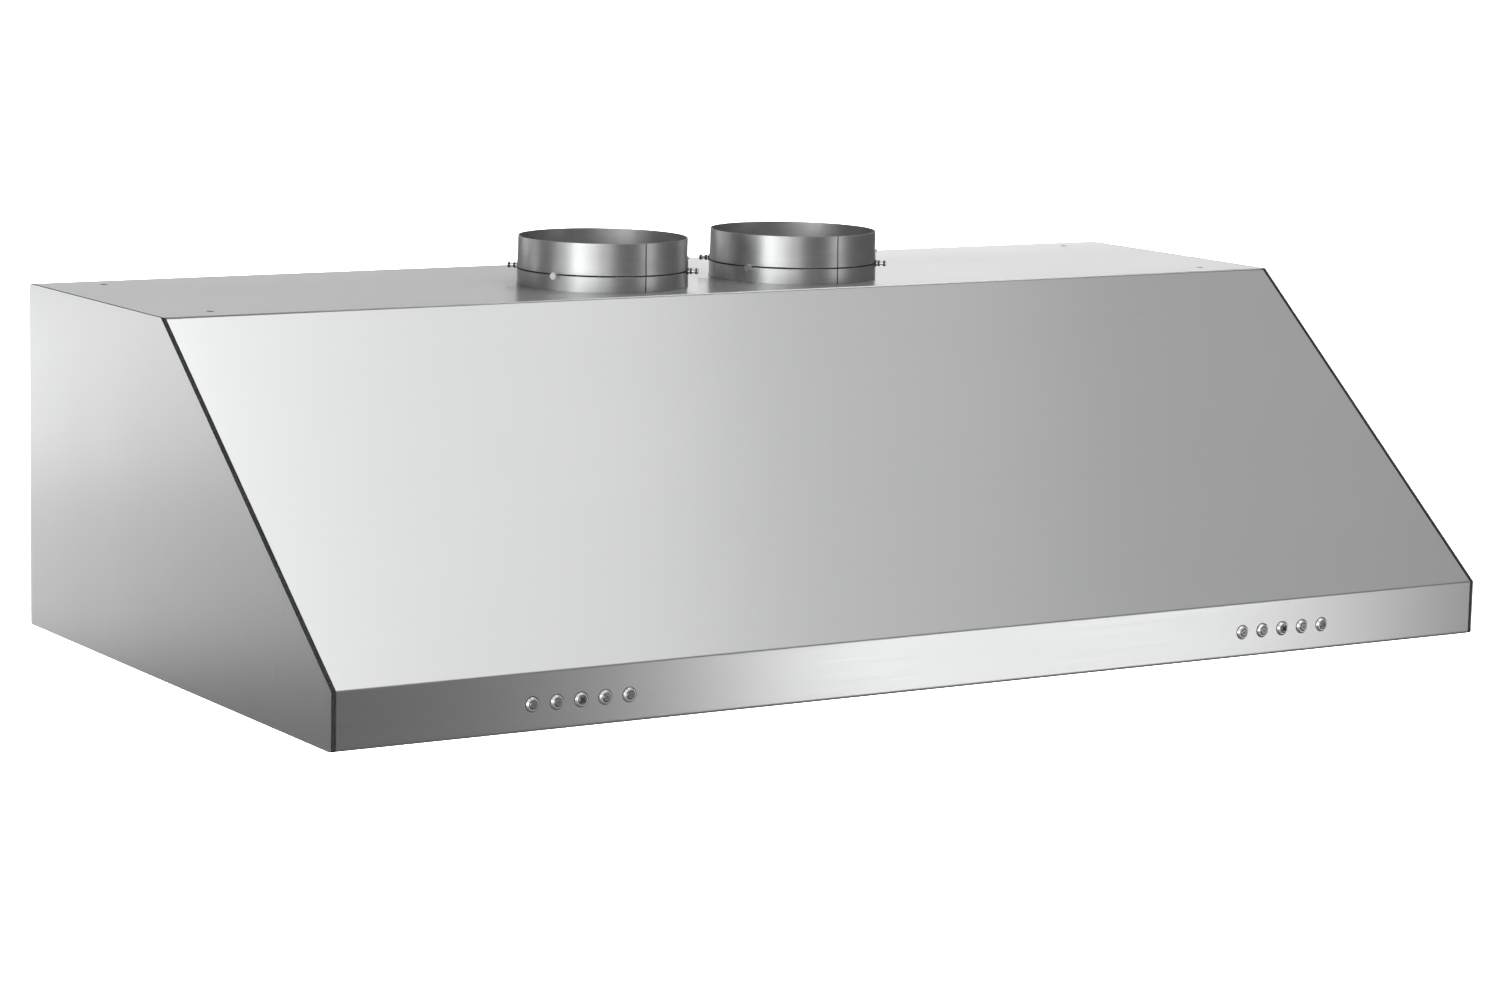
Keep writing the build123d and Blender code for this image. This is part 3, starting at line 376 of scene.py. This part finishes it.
def make_materials():
    """A material for each material slot of the record, for the sides' own grain, and for the pieces."""
    return {
        "brushed_shell": brushed("brushed_shell", (1, 0, 0), (0, 0.3, 1)),
        "brushed_side": brushed("brushed_side", (0, 0, 1), (0, 1, 0)),
        "top_steel": brushed("top_steel", (1, 0, 0), (0, 1, 0)),
        "inner_steel": brushed("inner_steel", (1, 0, 0), (0, 1, 0.3), color=0.6, rough=0.36),
        "filter_steel": brushed("filter_steel", (0, 1, 0), (1, 0, 0), color=0.62, rough=0.33),
        "flap_steel": brushed("flap_steel", (1, 0, 0), (0, 1, 0), color=0.5, rough=0.38),
        "collar_steel": brushed("collar_steel", (1, 1, 0), (0, 0, 1),
                                color=0.5, rough=0.42, aniso=0.5, line=0.07),
        "axle_steel": polished("axle_steel", 0.68, 0.25),
        "galvanised_back": spangled("galvanised_back", 0.60, 0.42),
        "galvanised": spangled("galvanised", 0.55, 0.45),
        "screw_steel": polished("screw_steel", 0.75, 0.24),
        "polished_trim": polished("polished_trim", 0.8, 0.12),
        "reflector_aluminium": polished("reflector_aluminium", 0.85, 0.18),
        # The chrome caps are set dark as painted shade on their faces, and the chrome rings near white as
        # painted highlight.
        "button_chrome": polished("button_chrome", 0.28, 0.34, 5000.0),
        "bezel_chrome": polished("bezel_chrome", 0.98, 0.38, 5000.0),
        "handle_chrome": polished("handle_chrome", 0.78, 0.15),
        "wheel_aluminium": polished("wheel_aluminium", 0.72, 0.34),
        # Also used for the black strips painted into the corner seams as shade.
        "black_seal": moulded("black_seal", (0.006, 0.006, 0.006), (0.010, 0.010, 0.011),
                              rough=0.7, grain=500.0, bump=0.2, gloss=0.1),
        # Also used for the painted shadow rings round the foot of the button rings.
        "black_plastic": moulded("black_plastic", (0.014, 0.014, 0.015), (0.026, 0.026, 0.028),
                                 rough=0.5, grain=900.0, bump=0.2),
        "lead_rubber": moulded("lead_rubber", (0.02, 0.02, 0.022), (0.04, 0.04, 0.043),
                               rough=0.55, grain=400.0, bump=0.15),
        "motor_paint": moulded("motor_paint", (0.03, 0.03, 0.033), (0.05, 0.05, 0.055),
                               rough=0.35, grain=600.0, bump=0.3, coat=0.3),
        "board_green": moulded("board_green", (0.02, 0.15, 0.07), (0.03, 0.22, 0.10),
                               rough=0.3, grain=300.0, bump=0.1, coat=0.4),
        "capacitor_white": moulded("capacitor_white", (0.70, 0.70, 0.67), (0.80, 0.80, 0.77),
                                   rough=0.3, grain=200.0, bump=0.05),
        "lens_glass": lamp_glass("lens_glass"),
        # Also used for the painted shade filling the collar grooves and for the dark lap seam lines.
        "mark_black": moulded("mark_black", (0.006, 0.006, 0.006), (0.01, 0.01, 0.011),
                              rough=0.6, grain=900.0, bump=0.1, gloss=0.1),
        "mark_grey": moulded("mark_grey", (0.02, 0.02, 0.02), (0.03, 0.03, 0.03),
                             rough=0.6, grain=900.0, bump=0.1, gloss=0.2),
        "bulb_glass": moulded("bulb_glass", (0.86, 0.86, 0.82), (0.93, 0.92, 0.88),
                              rough=0.12, grain=300.0, bump=0.03, coat=0.5),
    }


def dress_frame():
    """Give every CAD node its slot's material, but the side panels their own brushed steel with upright
    grain.
    """
    for part in frame["record"]["subparts"]:
        item = NODES[part["node"]]
        side = part["node"].startswith("side_panel")
        item.data.materials.clear()
        item.data.materials.append(MATERIALS["brushed_side" if side else part["material_slot"]])


# ---------- detail pieces ----------

def new_piece(name, bm, material, body):
    """A mesh piece that rides on a body."""
    mesh = bpy.data.meshes.new(name)
    bmesh.ops.recalc_face_normals(bm, faces=bm.faces)
    bm.to_mesh(mesh)
    bm.free()
    mesh.materials.append(MATERIALS[material])
    piece = bpy.data.objects.new(name, mesh)
    bpy.context.collection.objects.link(piece)
    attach(piece, body)
    return piece


def petals(lobes, radius, depth, sides=64):
    """A closed outline whose radius swells once for each lobe."""
    points = []
    for i in range(sides):
        turn = 2.0 * math.pi * i / sides
        r = radius + depth * math.cos(lobes * turn + math.pi)
        points.append((r * math.cos(turn), r * math.sin(turn)))
    return points


def bar(half_long, half_wide):
    """A straight mark."""
    return [(-half_long, -half_wide), (half_long, -half_wide),
            (half_long, half_wide), (-half_long, half_wide)]


def cross(half_long, half_wide):
    """A plus-shaped mark."""
    corner = [(half_wide, half_long), (half_wide, half_wide), (half_long, half_wide)]
    points = []
    for quarter in range(4):
        turn = -math.pi / 2.0 * quarter
        points += [(x * math.cos(turn) - z * math.sin(turn), x * math.sin(turn) + z * math.cos(turn))
                   for x, z in corner]
    return points


def inlay(bm, outline, x, y, z):
    """A thin printed layer on a button's face: the outline's front, back and edge."""
    front = [bm.verts.new((x + a, y - MARK_PROUD, z + b)) for a, b in outline]
    back = [bm.verts.new((x + a, y + MARK_SUNK, z + b)) for a, b in outline]
    bm.faces.new(front)
    bm.faces.new(back[::-1])
    for i in range(len(outline)):
        k = (i + 1) % len(outline)
        bm.faces.new((front[i], back[i], back[k], front[k]))


def button_marks():
    """The printed marks on the five buttons of each set: drop, minus, fan, plus and dot."""
    marks = {
        1: ("mark_grey", petals(3, 0.0011, 0.0003)),
        2: ("mark_grey", bar(0.0015, 0.0004)),
        3: ("mark_black", petals(4, 0.0025, 0.0004)),
        4: ("mark_grey", cross(0.0014, 0.0004)),
        5: ("mark_grey", petals(1, 0.0024, 0.0)),
    }
    for side in ("left", "right"):
        for number, (material, outline) in marks.items():
            body = f"button_{side}_{number}"
            low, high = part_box(body)
            bm = bmesh.new()
            inlay(bm, outline, (low[0] + high[0]) / 2, low[1], (low[2] + high[2]) / 2)
            new_piece(f"mark_{side}_{number}", bm, material, body)


def corner_line(depth):
    """The side's rounded front edge seen from its end, moved outwards by a distance, as (y, z) points."""
    low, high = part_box("side_panel_left")
    slope_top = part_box("top_panel")[0][1] - TOP_EDGE_GAP
    run = (slope_top - low[1]) / (high[2] - FASCIA_TOP)
    slant = math.hypot(1.0, run)
    lean = math.pi - math.atan(run)
    bends = (
        (low[1] + BEND, low[2] + BEND, 1.5 * math.pi - SHADE_START, math.pi),
        (low[1] + BEND, FASCIA_TOP - BEND * (slant - 1.0) / run, math.pi, lean),
        (slope_top + BEND * (slant - run), high[2] - BEND, lean, 0.5 * math.pi),
    )
    points = []
    for y, z, start, end in bends:
        for i in range(BEND_STEPS + 1):
            turn = start + (end - start) * i / BEND_STEPS
            points.append((y + (BEND + depth) * math.cos(turn), z + (BEND + depth) * math.sin(turn)))
    return points


def swept(bm, stations):
    """Join loops of points, one after another, into a closed bar."""
    loops = [[bm.verts.new(point) for point in loop] for loop in stations]
    for first, second in zip(loops, loops[1:]):
        for i in range(len(first)):
            k = (i + 1) % len(first)
            bm.faces.new((first[i], first[k], second[k], second[i]))
    bm.faces.new(loops[0][::-1])
    bm.faces.new(loops[-1])


def corner_seam_shades():
    """Painted shade: black strips in the two corner seams that also cover the side's bright edge, with a
    fine dark line of painted shade along the top's side edges.
    """
    gap = [(SKIN_EDGE, -SHADE_DIP), (SEAM_WIDE, -SHADE_DIP),
           (SEAM_WIDE, -SHADE_DEEP), (SKIN_EDGE, -SHADE_DEEP)]
    lap = [(SKIN_EDGE, SHADE_LIFT), (0.0, SHADE_LIFT), (0.0, SHADE_PROUD), (SKIN_EDGE, SHADE_PROUD)]
    top = [(0.0, SHADE_LIFT), (TOP_LINE_WIDE, SHADE_LIFT), (TOP_LINE_WIDE, SHADE_PROUD), (0.0, SHADE_PROUD)]
    low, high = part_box("side_panel_left")
    for name, side, profile in (("left", -1, lap + gap[1:]), ("right", 1, gap)):
        across = [side * (-low[0] - inwards) for inwards, depth in profile]
        lines = [corner_line(depth) for inwards, depth in profile]
        loops = [[(x, *line[k]) for x, line in zip(across, lines)] for k in range(len(lines[0]))]
        bm = bmesh.new()
        swept(bm, loops)
        swept(bm, [[(side * (-low[0] - inwards), y, high[2] + up) for inwards, up in top]
                   for y in (lines[0][-1][0], high[1] - BEND)])
        new_piece(f"corner_seam_shade_{name}", bm, "black_seal", "hood")


def hoop(bm, profile, place, steps):
    """Turn a closed (radius, along) profile round an axis; place makes a point of radius, turn and along."""
    rings = [[bm.verts.new(place(radius, 2.0 * math.pi * i / steps, along)) for i in range(steps)]
             for radius, along in profile]
    for first, second in zip(rings, rings[1:] + rings[:1]):
        for i in range(steps):
            k = (i + 1) % steps
            bm.faces.new((first[i], first[k], second[k], second[i]))


def ring_shadows():
    """A thin black ring round the foot of each button's ring: painted shadow."""
    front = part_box("front_panel")[0][1]
    shadow_ring = [(RING_RADIUS, 0.0), (SHADOW_RING_RADIUS, 0.0), (SHADOW_RING_RADIUS, -SHADOW_RING_PROUD),
              (RING_RADIUS, -SHADOW_RING_PROUD)]
    bm = bmesh.new()
    for side in ("left", "right"):
        for number in range(1, BUTTON_COUNT + 1):
            low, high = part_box(f"button_{side}_{number}")
            x = (low[0] + high[0]) / 2
            z = (low[2] + high[2]) / 2

            def on_fascia(radius, turn, along):
                return (x + radius * math.cos(turn), front + along, z + radius * math.sin(turn))

            hoop(bm, shadow_ring, on_fascia, SHADOW_RING_STEPS)
    new_piece("ring_shadows", bm, "black_plastic", "hood")


def collar_lines():
    """Painted shade: a dark fill in each collar's groove; also a thin dark line along its lap seam."""
    groove_edge = COLLAR_RADIUS - GROOVE_DIP
    groove_shade = [(groove_edge, -GROOVE_HALF), (groove_edge, GROOVE_HALF), (COLLAR_RADIUS - GROOVE_DEEP, 0.0)]
    lap = ((-LAP_HALF, LAP_PROUD), (LAP_HALF, LAP_PROUD), (LAP_HALF, -LAP_PROUD), (-LAP_HALF, -LAP_PROUD))
    bm = bmesh.new()
    for side in ("left", "right"):
        low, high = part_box(f"duct_collar_{side}")
        x = (low[0] + high[0]) / 2
        y = (low[1] + high[1]) / 2

        def on_collar(radius, turn, along):
            return (x + radius * math.cos(turn), y + radius * math.sin(turn), GROOVE_Z + along)

        hoop(bm, groove_shade, on_collar, COLLAR_STEPS)
        wall = ((COLLAR_RADIUS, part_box("top_panel")[1][2]), (COLLAR_RADIUS, TAPER_Z),
                (SPIGOT_RADIUS, SPIGOT_Z), (SPIGOT_RADIUS, high[2] - RIM_SHORT))
        swept(bm, [[(x + across, y - radius - out, z) for across, out in lap] for radius, z in wall])
    new_piece("collar_lines", bm, "mark_black", "hood")


def lathe(bm, profile, x, y, z, steps=32):
    """Turn a (radius, height) profile round an upright axis."""
    rings = []
    for radius, height in profile:
        rings.append([bm.verts.new((x + radius * math.cos(2.0 * math.pi * i / steps),
                                    y + radius * math.sin(2.0 * math.pi * i / steps), z + height))
                      for i in range(steps)])
    for lower, upper in zip(rings, rings[1:]):
        for i in range(steps):
            k = (i + 1) % steps
            bm.faces.new((lower[i], lower[k], upper[k], upper[i]))
    bm.faces.new(rings[0][::-1])
    bm.faces.new(rings[-1])


def bulbs():
    """A frosted capsule bulb in each lamp, hanging from the holder into the reflector."""
    low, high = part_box("lamp_cups")
    capsule = [(0.0012, 0.0), (0.0034, 0.0008), (0.0048, 0.0028), (0.0054, 0.006), (0.0054, 0.013),
               (0.0048, 0.0165), (0.0040, 0.018), (0.0040, 0.0215)]
    bottom = low[2] + BULB_ABOVE_MOUTH
    reach = (low[0] + CUP_RADIUS, high[0] - CUP_RADIUS)
    bm = bmesh.new()
    for i in range(LAMP_COUNT):
        x = reach[0] + (reach[1] - reach[0]) * i / (LAMP_COUNT - 1)
        lathe(bm, capsule, x, (low[1] + high[1]) / 2, bottom)
    piece = new_piece("lamp_bulbs", bm, "bulb_glass", "hood")
    for face in piece.data.polygons:
        face.use_smooth = True


make_camera()
make_world()
make_floor()
make_lights()
MATERIALS = make_materials()
dress_frame()
button_marks()
corner_seam_shades()
ring_shadows()
collar_lines()
bulbs()
bpy.context.scene.view_settings.view_transform = "Standard"
